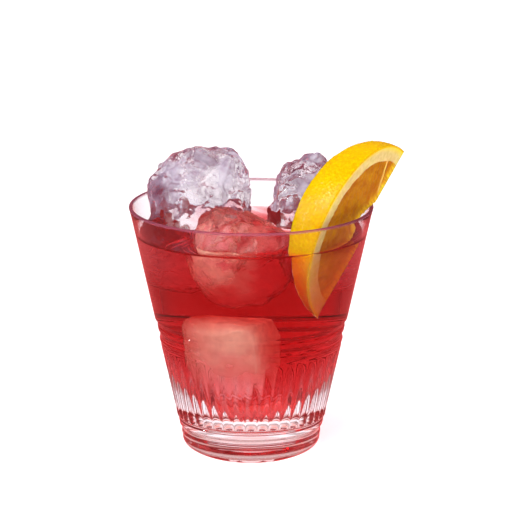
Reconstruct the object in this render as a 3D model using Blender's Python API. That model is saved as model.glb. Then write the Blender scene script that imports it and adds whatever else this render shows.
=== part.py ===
"""A negroni in its tumbler, at real size: glass, drink, three ice blocks that stand out of it and an orange wedge.

The origin is the centre of the glass's flat underside, +Z is up, and the front faces -Y.
"""

import math

import bmesh
import bpy
from mathutils import Matrix, Vector, noise

MM = 0.001

# Glass: a cone with turned bands round its waist, a fluted skirt and a heavy clear base.
GLASS_HEIGHT = 95.4 * MM
RIM_RADIUS = 46.0 * MM
CONE_SLOPE = 0.2231
RIM_WALL = 1.3 * MM
WAIST_HEIGHT = 53.0 * MM
WAIST_WALL = 1.9 * MM
BOWL_TOP = 42.0 * MM
BOWL_BOTTOM = 16.0 * MM
BOWL_POWER = 1.5
BOWL_ROWS = 9
SLOPE_STEP = 0.05 * MM
FOOT_RADIUS = 18.8 * MM
HEEL_RADIUS = 25.95 * MM
HEEL_HEIGHT = 6.9 * MM
HEEL_ROUNDNESS = 2.6
HEEL_CROWDING = 1.55
HEEL_STEPS = 6
LIP_STEPS = 6
FLUTES = 42
FLUTE_TOP = 41.6 * MM
FLUTE_BOTTOM = 14.7 * MM
FLUTE_DEPTH = 1.15 * MM
FLUTE_POINT = 16.0 * MM
FLUTE_LAND = 0.06
FLUTE_SPREAD = 0.6
FLUTE_ROWS = 6
FLUTE_ROW_CROWDING = 1.3
# Each turned band is (height, how far it lies inside the cone).
WAIST_BANDS = (
    (52.4 * MM, 0.0),
    (51.5 * MM, 0.62 * MM),
    (50.4 * MM, 0.85 * MM),
    (49.3 * MM, 0.32 * MM),
    (48.0 * MM, 0.28 * MM),
    (47.2 * MM, 0.58 * MM),
    (46.3 * MM, 0.70 * MM),
    (45.3 * MM, 0.40 * MM),
    (44.3 * MM, 0.0),
    (42.6 * MM, 0.15 * MM),
)
BASE_BANDS = (
    (13.7 * MM, 0.75 * MM),
    (12.8 * MM, 0.22 * MM),
    (11.3 * MM, 0.20 * MM),
    (10.2 * MM, 0.60 * MM),
    (9.2 * MM, 0.77 * MM),
    (8.0 * MM, 0.26 * MM),
)

# Drink
GAP = 0.3 * MM
SHARPEST_LEAN = 0.3
DRINK_LEVEL = 85.0 * MM

# Orange wedge: a slice of a ball between two planes that meet along its core.
ORANGE_RADIUS = 34.6 * MM
ORANGE_HALF_LENGTH = 35.8 * MM
WEDGE_ANGLE = math.radians(22.8)
WEDGE_CENTRE = Vector((40.2, -5.7, 85.9)) * MM
WEDGE_AXIS = Vector((0.488, 0.372, 0.790))
WEDGE_OUTWARD = Vector((-0.42, -0.66, 0.61))
CORE_TRIM = 3.2 * MM
WEDGE_ROWS = 18
FACE_STEPS = 3
RIND_STEPS = 5

# Ice blocks. A section is (height, centre x, centre y, half width x, half width y) in mm, from the bottom up.
ICE_BACK_LEFT = (
    (67, -17, 16, 9, 8),
    (74, -18, 17, 15.5, 13.5),
    (84, -19, 18, 18.6, 16),
    (95, -19.4, 19, 19.2, 16.5),
    (103, -19.0, 19.5, 17.6, 15),
    (108.5, -17.0, 20, 13.0, 11),
    (112, -15.5, 20, 7.0, 6.5),
)
ICE_BACK_RIGHT = (
    (66, 20, 18, 8, 8),
    (73, 20.5, 18.5, 13, 13),
    (84, 20.8, 19.5, 14.6, 15.5),
    (94, 21.8, 20.5, 12.8, 14.5),
    (102, 22.2, 21, 11.2, 12),
    (106.5, 22.6, 21.5, 7.6, 8.6),
    (109.3, 22.6, 21.5, 3.4, 4.4),
)
ICE_FRONT = (
    (65, -3, -17, 8, 7),
    (71, -4, -17.5, 14, 11.5),
    (80, -3.4, -18.5, 17.6, 14.6),
    (87, -4.0, -18.0, 17.0, 14),
    (92, -6.4, -15.5, 13.0, 10.5),
    (96, -9.0, -13.5, 6.0, 6),
)
ICE_SIDES = 16
ICE_ROWS = 11
ICE_SQUARENESS = 2.9
ICE_CRAG = 2.1 * MM
ICE_CRAG_SIZE = 11.0 * MM
ICE_FINE_CRAG = 0.5
ICE_FINE_CRAG_SIZE = 4.8 * MM
ICE_WALL_GAP = 0.8 * MM
ICE_BOTTOM_BULGE = 2.0 * MM
ICE_TOP_BULGE = 1.4 * MM

PLAIN_SIDES = 2 * FLUTES
SMOOTH_ANGLE = math.radians(28)


def clear_scene():
    for obj in list(bpy.data.objects):
        bpy.data.objects.remove(obj, do_unlink=True)


def material(name, colour, roughness, transmission=0.0, ior=1.45):
    made = bpy.data.materials.new(name)
    made.use_nodes = True
    shader = made.node_tree.nodes["Principled BSDF"]
    shader.inputs["Base Color"].default_value = (*colour, 1.0)
    shader.inputs["Roughness"].default_value = roughness
    shader.inputs["Metallic"].default_value = 0.0
    shader.inputs["Transmission Weight"].default_value = transmission
    shader.inputs["IOR"].default_value = ior
    made.diffuse_color = (*colour, 1.0)
    return made


def new_object(name, mesh, surface=None):
    obj = bpy.data.objects.new(name, mesh)
    bpy.context.scene.collection.objects.link(obj)
    if surface:
        mesh.materials.append(surface)
    return obj


def mesh_from(name, points, faces):
    mesh = bpy.data.meshes.new(name)
    mesh.from_pydata(points, [], faces)
    mesh.validate()
    return mesh


def split_into_triangles(mesh):
    """Splits a mesh's faces once, so that its copies have the same triangles."""
    work = bmesh.new()
    work.from_mesh(mesh)
    bmesh.ops.triangulate(work, faces=work.faces[:])
    work.to_mesh(mesh)
    work.free()


def cone_radius(height):
    return RIM_RADIUS - CONE_SLOPE * (GLASS_HEIGHT - height)


def inner_radius(height):
    """The hollow: a cone that closes in a round bowl inside the skirt."""
    share = (GLASS_HEIGHT - height) / (GLASS_HEIGHT - WAIST_HEIGHT)
    cone = cone_radius(height) - RIM_WALL - share * (WAIST_WALL - RIM_WALL)
    depth = max((BOWL_TOP - height) / (BOWL_TOP - BOWL_BOTTOM), 0.0)
    return cone * math.sqrt(max(1 - depth**BOWL_POWER, 0.0))


def ring(points, radius, height, steps):
    """Adds a ring at these steps, counted in flutes round the glass, and returns its point numbers."""
    first = len(points)
    for step in steps:
        angle = 2 * math.pi * step / FLUTES
        points.append((radius(step) * math.cos(angle), radius(step) * math.sin(angle), height))
    return list(range(first, len(points)))


def plain_ring(points, radius, height):
    return ring(points, lambda step: radius, height, [side / 2 for side in range(PLAIN_SIDES)])


def flute_ring(points, height):
    """Three points for each flute: the land's edge, the bottom of the groove and the next land's edge."""
    drop = FLUTE_TOP - height
    depth = FLUTE_DEPTH * min(drop / FLUTE_POINT, 1.0)
    half_width = (0.5 - FLUTE_LAND / 2) * min(drop / FLUTE_POINT, 1.0) ** FLUTE_SPREAD
    land = cone_radius(height)
    steps = []
    for flute in range(FLUTES):
        steps += [flute + 0.5 - half_width, flute + 0.5, flute + 0.5 + half_width]
    return ring(points, lambda step: land - depth * (step % 1 == 0.5), height, steps)


def bridge(faces, upper, lower):
    """Quads between two rings of the same count, facing out where the upper ring is the higher one."""
    count = len(upper)
    for side in range(count):
        after = (side + 1) % count
        faces.append((upper[side], lower[side], lower[after], upper[after]))


def bridge_plain_to_flutes(faces, plain, fluted, flutes_below):
    """Triangles between a plain ring, two points a flute, and a fluted ring, three points a flute."""
    for flute in range(FLUTES):
        land = plain[2 * flute]
        tip = plain[2 * flute + 1]
        next_land = plain[(2 * flute + 2) % len(plain)]
        left, valley, right = fluted[3 * flute : 3 * flute + 3]
        next_left = fluted[(3 * flute + 3) % len(fluted)]
        fan = [(land, left, tip), (tip, left, valley), (tip, valley, right), (tip, right, next_land)]
        fan.append((next_land, right, next_left))
        faces += fan if flutes_below else [face[::-1] for face in fan]


def heel_rings(points):
    """The rounded heel, from the lowest band down to the flat foot."""
    rings = []
    for step in range(HEEL_STEPS + 1):
        height = HEEL_HEIGHT * (1 - step / HEEL_STEPS) ** HEEL_CROWDING
        reach = 1 - (1 - height / HEEL_HEIGHT) ** HEEL_ROUNDNESS
        rings.append(plain_ring(points, FOOT_RADIUS + (HEEL_RADIUS - FOOT_RADIUS) * reach, height))
    return rings


def rim_rings(points):
    """The rounded lip, from the inner wall over the top to the outer wall."""
    rings = []
    half = RIM_WALL / 2
    for step in range(LIP_STEPS + 1):
        angle = math.pi * step / LIP_STEPS
        radius = RIM_RADIUS - half - half * math.cos(angle)
        rings.append(plain_ring(points, radius, GLASS_HEIGHT - half + half * math.sin(angle)))
    return rings


def bowl_profile(inset):
    """Radii and heights of the hollow's bowl from its top down to its floor, moved in by this much."""
    profile = []
    for row in range(BOWL_ROWS):
        depth = math.sin(math.pi / 2 * row / BOWL_ROWS) ** (2 / BOWL_POWER)
        height = BOWL_TOP - depth * (BOWL_TOP - BOWL_BOTTOM)
        step = min(SLOPE_STEP, (height - BOWL_BOTTOM) / 4)
        slope = Vector((inner_radius(height + step) - inner_radius(height - step), 2 * step)).normalized()
        profile.append((inner_radius(height) - slope.y * inset, height + slope.x * inset))
    return profile


def make_glass(surface):
    points = []
    faces = []
    rims = rim_rings(points)
    waist = [plain_ring(points, cone_radius(height) - inset, height) for height, inset in WAIST_BANDS]
    flute_span = FLUTE_TOP - FLUTE_BOTTOM
    fluted = []
    for row in range(1, FLUTE_ROWS + 1):
        share = (row / FLUTE_ROWS) ** FLUTE_ROW_CROWDING
        fluted.append(flute_ring(points, FLUTE_TOP - share * flute_span))
    flute_head = plain_ring(points, cone_radius(FLUTE_TOP), FLUTE_TOP)
    base = [plain_ring(points, cone_radius(height) - inset, height) for height, inset in BASE_BANDS]
    heel = heel_rings(points)
    inside = [plain_ring(points, radius, height) for radius, height in bowl_profile(0.0)]

    above = [rims[-1]] + waist + [flute_head]
    for upper, lower in zip(above, above[1:]):
        bridge(faces, upper, lower)
    bridge_plain_to_flutes(faces, flute_head, fluted[0], True)
    for upper, lower in zip(fluted, fluted[1:]):
        bridge(faces, upper, lower)
    bridge_plain_to_flutes(faces, base[0], fluted[-1], False)
    below = base + heel
    for upper, lower in zip(below, below[1:]):
        bridge(faces, upper, lower)
    for inner, outer in zip(rims, rims[1:]):
        bridge(faces, inner, outer)
    wall = inside[::-1] + [rims[0]]
    for lower, upper in zip(wall, wall[1:]):
        bridge(faces, lower, upper)
    faces.append(tuple(inside[-1]))
    faces.append(tuple(heel[-1][::-1]))

    mesh = mesh_from("glass", points, faces)
    mesh.shade_smooth()
    mesh.set_sharp_from_angle(angle=SMOOTH_ANGLE)
    return new_object("glass", mesh, surface)


def make_drink(surface):
    """The drink fills the hollow up to its level, a hair clear of the glass."""
    points = []
    faces = []
    top = plain_ring(points, inner_radius(DRINK_LEVEL) - GAP, DRINK_LEVEL)
    sides = [plain_ring(points, radius, height) for radius, height in bowl_profile(GAP)]
    rows = [top] + sides
    for upper, lower in zip(rows, rows[1:]):
        bridge(faces, upper, lower)
    faces.append(tuple(top))
    faces.append(tuple(sides[-1][::-1]))
    mesh = mesh_from("drink", points, faces)
    mesh.shade_smooth()
    mesh.set_sharp_from_angle(angle=SMOOTH_ANGLE)
    return new_object("drink", mesh, surface)


def section_at(sections, share):
    """One cross-section of a block, read from its key sections by a smooth curve."""
    last = len(sections) - 1
    place = share * last
    index = min(int(place), last - 1)
    t = place - index
    before, start, end, after = (sections[min(max(index + k, 0), last)] for k in (-1, 0, 1, 2))
    values = []
    for p, q, r, s in zip(before, start, end, after):
        values.append(q + 0.5 * t * (r - p + t * (2 * p - 5 * q + 4 * r - s + t * (3 * (q - r) + s - p))))
    return [value * MM for value in values]


def squared(angle, half_x, half_y):
    """A point on a rounded rectangle of this half size."""
    x, y = math.cos(angle), math.sin(angle)
    reach = (abs(x) ** ICE_SQUARENESS + abs(y) ** ICE_SQUARENESS) ** (-1 / ICE_SQUARENESS)
    return x * reach * half_x, y * reach * half_y


def worn(point, centre, seed):
    """Moves a point of a block in or out by coarse noise, and keeps it off the glass."""
    offset = Vector((seed, -seed, 2 * seed))
    crag = noise.noise(point / ICE_CRAG_SIZE + offset)
    crag += ICE_FINE_CRAG * noise.noise(point / ICE_FINE_CRAG_SIZE + offset)
    moved = point + (point - centre).normalized() * ICE_CRAG * crag
    if moved.z < GLASS_HEIGHT:
        room = inner_radius(moved.z) - ICE_WALL_GAP
        across = math.hypot(moved.x, moved.y)
        moved.xy *= min(1.0, room / across)
    return moved


def make_ice_block(name, sections, seed, surface):
    points = []
    faces = []
    rings = []
    low = Vector(sections[0][1:3] + (sections[0][0],)) * MM
    high = Vector(sections[-1][1:3] + (sections[-1][0],)) * MM
    centre = (low + high) / 2
    for row in range(ICE_ROWS):
        height, x, y, half_x, half_y = section_at(sections, row / (ICE_ROWS - 1))
        first = len(points)
        for side in range(ICE_SIDES):
            dx, dy = squared(2 * math.pi * (side + row % 2 / 2) / ICE_SIDES, half_x, half_y)
            points.append(worn(Vector((x + dx, y + dy, height)), centre, seed))
        rings.append(list(range(first, len(points))))
    for lower, upper in zip(rings, rings[1:]):
        bridge(faces, upper, lower)
    for end, bulge in ((rings[0][::-1], -ICE_BOTTOM_BULGE), (rings[-1], ICE_TOP_BULGE)):
        tip = len(points)
        middle = sum((points[index] for index in end), Vector()) / ICE_SIDES
        points.append(middle + Vector((0, 0, bulge)))
        for side in range(ICE_SIDES):
            faces.append((end[side], end[(side + 1) % ICE_SIDES], tip))
    mesh = mesh_from(name, points, faces)
    split_into_triangles(mesh)
    return new_object(name, mesh, surface)


def make_ice(surface):
    return [
        make_ice_block("ice_back_left", ICE_BACK_LEFT, 3, surface),
        make_ice_block("ice_back_right", ICE_BACK_RIGHT, 11, surface),
        make_ice_block("ice_front", ICE_FRONT, 23, surface),
    ]


def wedge_section(along):
    """One section as (radius, angle): from the trimmed core out over a cut face, round the rind and back."""
    half = WEDGE_ANGLE / 2
    outer = ORANGE_RADIUS * math.sin(along)
    core = CORE_TRIM * math.sin(along)
    across = [core + (outer - core) * step / FACE_STEPS for step in range(FACE_STEPS + 1)]
    section = [(radius, -half) for radius in across]
    section += [(outer, -half + WEDGE_ANGLE * step / RIND_STEPS) for step in range(1, RIND_STEPS)]
    section += [(radius, half) for radius in reversed(across)]
    return section


def make_wedge(surface):
    """Sections from tip to tip along the core, each a thin slice of the ball."""
    points = [(0.0, 0.0, ORANGE_HALF_LENGTH)]
    faces = []
    rings = []
    for row in range(1, WEDGE_ROWS):
        along = math.pi * row / WEDGE_ROWS
        height = ORANGE_HALF_LENGTH * math.cos(along)
        first = len(points)
        points += [(r * math.cos(a), r * math.sin(a), height) for r, a in wedge_section(along)]
        rings.append(list(range(first, len(points))))
    last = len(points)
    points.append((0.0, 0.0, -ORANGE_HALF_LENGTH))
    count = len(rings[0])
    for side in range(count):
        after = (side + 1) % count
        faces.append((0, rings[0][side], rings[0][after]))
        faces.append((last, rings[-1][after], rings[-1][side]))
    for upper, lower in zip(rings, rings[1:]):
        bridge(faces, upper, lower)
    mesh = mesh_from("orange_wedge", points, faces)
    split_into_triangles(mesh)
    mesh.shade_smooth()
    mesh.set_sharp_from_angle(angle=SMOOTH_ANGLE)
    wedge = new_object("orange_wedge", mesh, surface)
    axis = WEDGE_AXIS.normalized()
    outward = (WEDGE_OUTWARD - WEDGE_OUTWARD.dot(axis) * axis).normalized()
    turn = Matrix((outward, axis.cross(outward), axis)).transposed()
    wedge.matrix_world = Matrix.Translation(WEDGE_CENTRE) @ turn.to_4x4()
    return wedge


def grow(mesh, distance):
    """Moves each point out so far that the faces round it all move this distance, or nearly so at a sharp tip."""
    work = bmesh.new()
    work.from_mesh(mesh)
    work.normal_update()
    moves = []
    for vert in work.verts:
        lean = min(vert.normal.dot(face.normal) for face in vert.link_faces)
        moves.append(vert.normal * distance / max(lean, SHARPEST_LEAN))
    for vert, move in zip(work.verts, moves):
        vert.co += move
    work.to_mesh(mesh)
    work.free()


def cut_round(drink, sunk):
    """Cuts the drink round a piece that stands in it, a hair clear of it."""
    mesh = sunk.data.copy()
    grow(mesh, GAP)
    cutter = new_object(f"cutter_{sunk.name}", mesh)
    cutter.matrix_world = sunk.matrix_world
    cutter.hide_render = True
    cutter.display_type = "WIRE"
    cut = drink.modifiers.new(f"round_{sunk.name}", "BOOLEAN")
    cut.operation = "DIFFERENCE"
    cut.object = cutter


def build():
    clear_scene()
    glass = material("clear_glass", (1.0, 1.0, 1.0), 0.0, transmission=1.0, ior=1.5)
    red = material("red_drink", (0.62, 0.02, 0.03), 0.05)
    ice = material("ice", (0.86, 0.80, 0.84), 0.1)
    orange = material("orange", (0.87, 0.55, 0.0), 0.4)
    make_glass(glass)
    drink = make_drink(red)
    sunk = make_ice(ice) + [make_wedge(orange)]
    bpy.context.view_layer.update()
    for piece in sunk:
        cut_round(drink, piece)


build()
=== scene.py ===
"""The looks of the negroni: clear glass, red drink, wet ice and an orange wedge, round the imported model.

Sizes are in metres in the model's frame: the origin is the centre of the glass's foot, +Z is up and
-Y is the front.
"""
import math
import random

import bmesh
import bpy
from mathutils import Matrix, Vector, noise
from mathutils.bvhtree import BVHTree


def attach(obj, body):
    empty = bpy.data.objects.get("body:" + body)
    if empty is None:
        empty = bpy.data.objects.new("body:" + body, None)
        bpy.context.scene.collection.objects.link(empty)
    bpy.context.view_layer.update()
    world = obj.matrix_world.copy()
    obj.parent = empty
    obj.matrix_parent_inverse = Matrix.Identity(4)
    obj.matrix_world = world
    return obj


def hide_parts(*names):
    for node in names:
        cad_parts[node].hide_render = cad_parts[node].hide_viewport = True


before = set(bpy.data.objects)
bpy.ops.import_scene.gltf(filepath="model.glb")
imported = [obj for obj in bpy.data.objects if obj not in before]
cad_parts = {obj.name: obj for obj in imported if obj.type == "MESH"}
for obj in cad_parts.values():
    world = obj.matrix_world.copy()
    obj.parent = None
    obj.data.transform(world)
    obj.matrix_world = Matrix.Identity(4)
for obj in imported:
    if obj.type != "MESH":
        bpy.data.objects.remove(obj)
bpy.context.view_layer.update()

MM = 0.001
BODY = "root"

# Camera, fitted to the rim, the waist bands and the foot
CAMERA_DISTANCE = 2.2
CAMERA_RISE = 0.2539
CAMERA_TARGET = Vector((0.0, 0.0, 0.048))
CAMERA_LENS = 409.3
CAMERA_SENSOR = 36.0
CAMERA_REACH = (0.05, 20.0)
FRAME_WIDTH = 512
TARGET_COLUMN = 251.0
TARGET_ROW = 327.1

# Glass
GLASS_HEIGHT = 95.4 * MM
RIM_RADIUS = 46.0 * MM
CONE_SLOPE = 0.2231
RIM_WALL = 1.3 * MM
WAIST_HEIGHT = 53.0 * MM
WAIST_WALL = 1.9 * MM
BOWL_TOP = 42.0 * MM
BOWL_BOTTOM = 16.0 * MM
BOWL_POWER = 1.5
SLOPE_STEP = 0.05 * MM
FOOT_CLEARANCE = 1.0 * MM
FOOT_RADIUS = 18.8 * MM
HEEL_HEIGHT = 6.9 * MM
HEEL_ROUNDNESS = 2.6
HEEL_CROWDING = 1.55
FLUTES = 42
FLUTE_TOP = 41.6 * MM
FLUTE_BOTTOM = 14.7 * MM
FLUTE_DEPTH = 1.15 * MM
FLUTE_POINT = 16.0 * MM
FLUTE_END = 3.0 * MM
FLUTE_LAND = 0.08
FLUTE_SPREAD = 0.6
# Each turned band is (height, how far it lies inside the cone).
WAIST_BANDS = [(height * MM, inset * MM) for height, inset in (
    (53.2, 0.0), (52.4, 0.0), (51.5, 0.62), (50.4, 0.85), (49.3, 0.32), (48.0, 0.28),
    (47.2, 0.58), (46.3, 0.70), (45.3, 0.40), (44.3, 0.0), (42.6, 0.15), (41.6, 0.0),
)]
BASE_BANDS = [(height * MM, inset * MM) for height, inset in (
    (14.7, 0.0), (13.7, 0.75), (12.8, 0.22), (11.3, 0.20),
    (10.2, 0.60), (9.2, 0.77), (8.0, 0.26), (6.9, 0.30),
)]
# Columns of the fine mesh in one flute, across the groove from -1 to 1.
GROOVE_COLUMNS = (-1.0, -0.68, -0.34, 0.0, 0.34, 0.68, 1.0)
# Rows of the fine mesh, from the lip down
LIP_ROWS = 14
CONE_ROWS = 16
WAIST_ROWS = 44
GROOVE_ROWS = 30
GROOVE_CROWDING = 1.3
GROOVE_END_ROWS = 10
GROOVE_END_CROWDING = 0.7
BASE_ROWS = 30
HEEL_ROWS = 18
HOLLOW_WALL_ROWS = 20
BOWL_ROWS = 44
GLASS_CREASE = math.radians(50)

# Drink
DRINK_LEVEL = 84.5 * MM
REACH_INTO_GLASS = 0.2 * MM
REACH_INTO_ICE = 0.1 * MM
WALL_MENISCUS = 1.3 * MM
WALL_MENISCUS_WIDTH = 1.2 * MM
WALL_MENISCUS_EDGE = 0.3 * MM
PIECE_MENISCUS = 0.8 * MM
PIECE_MENISCUS_WIDTH = 0.9 * MM
DRINK_SWELL = 0.12 * MM
DRINK_SWELL_SIZE = 14 * MM
DRINK_COLUMNS = 264
DRINK_WALL_ROWS = 44
DRINK_TOP_RINGS = 56
DRINK_TOP_CROWDING = 1.25
DRINK_CREASE = math.radians(60)

# Ice blocks. A section is (height, centre x, centre y, half width x, half width y) in mm, from the bottom up.
ICE_BACK_LEFT = (
    (67, -17, 16, 9, 8),
    (74, -18, 17, 15.5, 13.5),
    (84, -19, 18, 18.6, 16),
    (95, -19.4, 19, 19.2, 16.5),
    (103, -19.0, 19.5, 17.6, 15),
    (108.5, -17.0, 20, 13.0, 11),
    (112, -15.5, 20, 7.0, 6.5),
)
ICE_BACK_RIGHT = (
    (66, 20, 18, 8, 8),
    (73, 20.5, 18.5, 13, 13),
    (84, 20.8, 19.5, 14.6, 15.5),
    (94, 21.8, 20.5, 12.8, 14.5),
    (102, 22.2, 21, 11.2, 12),
    (106.5, 22.6, 21.5, 7.6, 8.6),
    (109.3, 22.6, 21.5, 3.4, 4.4),
)
ICE_FRONT = (
    (65, -3, -17, 8, 7),
    (71, -4, -17.5, 14, 11.5),
    (80, -3.4, -18.5, 17.6, 14.6),
    (87, -4.0, -18.0, 17.0, 14),
    (92, -6.4, -15.5, 13.0, 10.5),
    (96, -9.0, -13.5, 6.0, 6),
)
ICE_SUNK_LOW = (
    (25, 0, -11, 7, 9),
    (31, 0, -16, 11, 12),
    (39, 0, -19, 13.6, 14),
    (47, 0, -20, 14.2, 14),
    (54, 0, -20, 14.2, 14),
    (57.5, 0, -20, 13.4, 12),
)
# Each block that stands out of the drink is (node, sections, seed).
ICE_BLOCKS = (
    ("ice_back_left", ICE_BACK_LEFT, 3),
    ("ice_back_right", ICE_BACK_RIGHT, 11),
    ("ice_front", ICE_FRONT, 23),
)
SUNK_SEED = 31
SUNK_TURN = math.radians(-23.0)
ICE_SIDES = 176
ICE_ROWS = 120
ICE_CAP_ROWS = 14
ICE_SQUARENESS = 2.9
SUNK_SQUARENESS = 6.0
ICE_CRAG = 2.1 * MM
ICE_CRAG_SIZE = 11.0 * MM
ICE_FINE_CRAG = 0.5
ICE_FINE_CRAG_SIZE = 4.8 * MM
ICE_WALL_GAP = 0.6 * MM
ICE_LEAST_ROOM = 0.5 * MM
ICE_ABOVE_RIM = 1 * MM
ICE_BOTTOM_BULGE = 2.0 * MM
ICE_TOP_BULGE = 1.4 * MM
ICE_CHIPS = 30
SUNK_CHIPS = 6
# How deep a chip goes, in mm, and how flat it leaves the block
CHIP_DEPTHS = (0.3, 1.7)
CHIP_FLATNESS = 0.92
ICE_LUMP = 1.3 * MM
ICE_LUMP_SIZE = 8.0 * MM
ICE_SCALLOP = 0.5 * MM
ICE_SCALLOP_SIZE = 5.0 * MM
ICE_SCALLOP_GAIN = 1.6
ICE_SCALLOP_FLOOR = 0.5
ICE_RIPPLE = 0.5 * MM
ICE_RIPPLE_SIZE = 1.9 * MM
ICE_RIPPLE_LEAST = 0.15
# Levels of the noise between which the ripples come in
ICE_RIPPLE_LEVELS = (-0.15, 0.35)
ICE_CREASE = 0.7 * MM
ICE_CREASE_SIZE = 7.0 * MM
ICE_CREASE_WIDTH = 0.07
ICE_CREASE_BEND = 0.12
ICE_CREASE_BEND_SIZE = 3 * MM
SUNK_SMOOTHNESS = 0.35
SUNK_SMOOTH_BELOW = 4 * MM
SUNK_ROUGH_ABOVE = 1 * MM

# Orange wedge. The reliefs of the skin and the flesh (slope, wave, sacs, membrane) are in mm.
ORANGE_RADIUS = 34.6 * MM
ORANGE_HALF_LENGTH = 35.8 * MM
WEDGE_ANGLE = math.radians(22.8)
WEDGE_CENTRE = Vector((40.2, -5.7, 85.9)) * MM
WEDGE_AXIS = Vector((0.488, 0.372, 0.790))
WEDGE_OUTWARD = Vector((-0.42, -0.66, 0.61))
CORE_TRIM = 3.2 * MM
# The core is torn away below the first of these heights and whole above the second.
CORE_TORN_TO = (7 * MM, 16 * MM)
CORE_BITE = 2.2 * MM
CORE_BITE_AT = 4.5 * MM
CORE_BITE_REACH = 4.5 * MM
CORE_RAG = 0.7 * MM
CORE_RAG_SIZE = 1.3 * MM
CORE_FINE_RAG = 0.6
CORE_FINE_RAG_SIZE = 0.5 * MM
CORE_LEAST = 0.2 * MM
RIND_DEPTH = 0.6 * MM
RIND_FADE = (0.6, 1.7)
RIND_EDGE_ROUNDING = 0.35 * MM
RIND_EDGE_REACH = 0.5 * MM
PEBBLE_SIZE = 1.35 * MM
PEBBLE_SLOPE = 0.34
PEBBLE_HEIGHT = 0.19 * MM
PEBBLE_REACH = 0.4 * MM
PEBBLE_SINK = 0.1 * MM
RIND_WAVE = 0.175
RIND_WAVE_SIZE = 6 * MM
ZEST_DEPTH = 2.2 * MM
ZEST_TIP_GAIN = 1.5
# Painted light: a lighter yellow painted on the orange just under the drink's level, standing in for light
# that reaches it there
UNDER_DRINK_PAINT_DEPTH = 4.0 * MM
UNDER_DRINK_PAINT_SHARE = 0.4
PITH_DEPTH = 5.9 * MM
PITH_TIP_EXTRA = 2.0 * MM
PITH_FOOT_EXTRA = 5.0 * MM
PITH_TIP_POWER = 8
TIP_FADE = 3
PITH_WAVE = 0.5 * MM
PITH_WAVE_LENGTH = 4 * MM
PITH_WAVE_WIDTH = 9 * MM
PITH_BLEND = 0.25 * MM
SAC_FAN = 6 * MM
SAC_COUNT = 15
SAC_LENGTH = 5.5 * MM
SAC_EDGE = 2.2
SAC_MIDDLE = 0.55
SAC_RELIEF = 0.30
FLESH_SINK = 0.15 * MM
FLESH_FADE = 6 * MM
MEMBRANE_START = Vector((3.0 * MM, 17.0 * MM))
MEMBRANE_END = Vector((10.5 * MM, 30.0 * MM))
MEMBRANE_WIDTH = 0.45 * MM
MEMBRANE_FADE = 1 * MM
MEMBRANE_RELIEF = 0.35
FRINGE_REACH = (5.5 * MM, 0.5 * MM)
FRINGE_FIBRE_SIZE = 0.7 * MM
FRINGE_FIBRE_LENGTH = 4 * MM
FRINGE_BASE = 0.65
FRINGE_GAIN = 0.9
WEDGE_ROWS = 300
FACE_COLUMNS = 60
FACE_CROWDING = 0.85
RIND_COLUMNS = 56
CORE_COLUMNS = 4
# What each point of the wedge's mesh carries for its material, 0 to 1
WEDGE_LAYERS = ("rind", "flesh", "membrane", "zest", "fringe")
WEDGE_TIP_LAYERS = (1.0, 0.0, 0.0, 1.0, 0.0)

# Clear matter
GLASS_IOR = 1.5
DRINK_IOR = 1.34
ICE_IOR = 1.31
GLASS_TINT = (0.85, 0.84, 0.87, 1)
NO_TINT = (1, 1, 1, 1)
# How much of the surroundings a surface mirrors, 0 to 1
GLASS_MIRRORING = 1.0
INSIDE_MIRRORING = 0.2
ICE_MIRRORING = 0.8
SUNK_MIRRORING = 0.0
DRINK_TINT = (0.86, 0.03, 0.065, 1)
DRINK_DENSITY = 92.0
# Waves and pores on a surface are (scale, height, detail).
GLASS_WAVES = (60.0, 0.04 * MM, 2.0)
DRINK_WAVES = (90.0, 0.02 * MM, 2.0)
ICE_WAVES = (420.0, 0.25 * MM, 4.0)
# Painted light on the glass's lip: a hazy share of the drink's red, painted where the lip would show the
# drink by refraction
LIP_PAINT_DEPTH = 1.2 * MM
LIP_PAINT_SHARE = 0.5

# Patches in a material are (scale, noise level at 0, noise level at 1, detail).
ICE_TONE_PATCHES = (110.0, 0.38, 0.62, 3.0)
ICE_CLOUD_PATCHES = (130.0, 0.38, 0.62, 5.0)
FOOT_SHINE_PATCHES = (120.0, 0.3, 0.7, 4.0)
RIND_PATCHES = (70.0, 0.35, 0.65, 3.0)
RIND_FLECKS = (900.0, 0.42, 0.72, 3.0)
PITH_FIBRES = (500.0, 0.3, 0.7, 3.0)
FLESH_SACS = (260.0, 0.35, 0.7, 3.0)
FLOOR_PATCHES = (3.0, 0.3, 0.7, 3.0)

# Clouds in the ice. A range of shares is (least, most), and a fade is (axis, gone at, whole at).
LILAC_CLOUDS = (0.1, 0.64)
DRINK_RED_PAINTED_CLOUDS = (0.1, 0.5)
SLAB_CLOUDS = (0.55, 0.9)
FRONT_CLOUDS = (0.0, 0.8)
HIDDEN_CLOUDS = (0.0, 0.03)
SLAB_FADES = (("Z", 28.0 * MM, 52.0 * MM), ("X", -26.0 * MM, -12.0 * MM))
FRONT_FADES = (("Z", 66.0 * MM, 78.0 * MM), ("X", 3.0 * MM, -6.0 * MM))
# Painted light: the red that would shine up from the drink into the ice, painted as a colour in ragged
# patches
FOOT_SHINE_TOP = 10.0 * MM
FOOT_SHINE_RAG = 12.0 * MM
FOOT_SHINE_EDGE = 0.8 * MM
FOOT_SHINE_SHARE = 0.6

# Screen colours, 0 to 255. Two in a row are the tones that patches mix.
# The drink's red, painted on the glass's lip
LIP_PAINTED_RED_TONE = (196, 112, 134)
# Partly painted: the clouds are cloudy ice, and their lilac and grey tones paint the ice's reflections of the
# dim surroundings
LILAC_TONES = ((138, 104, 130), (206, 200, 224))
# Painted light: the front block's clouds take the drink's red, where the drink would light the ice and show
# through it
DRINK_RED_PAINTED_TONES = ((140, 58, 62), (232, 158, 148))
SALMON_TONES = ((244, 216, 186), (255, 232, 204))
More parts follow.
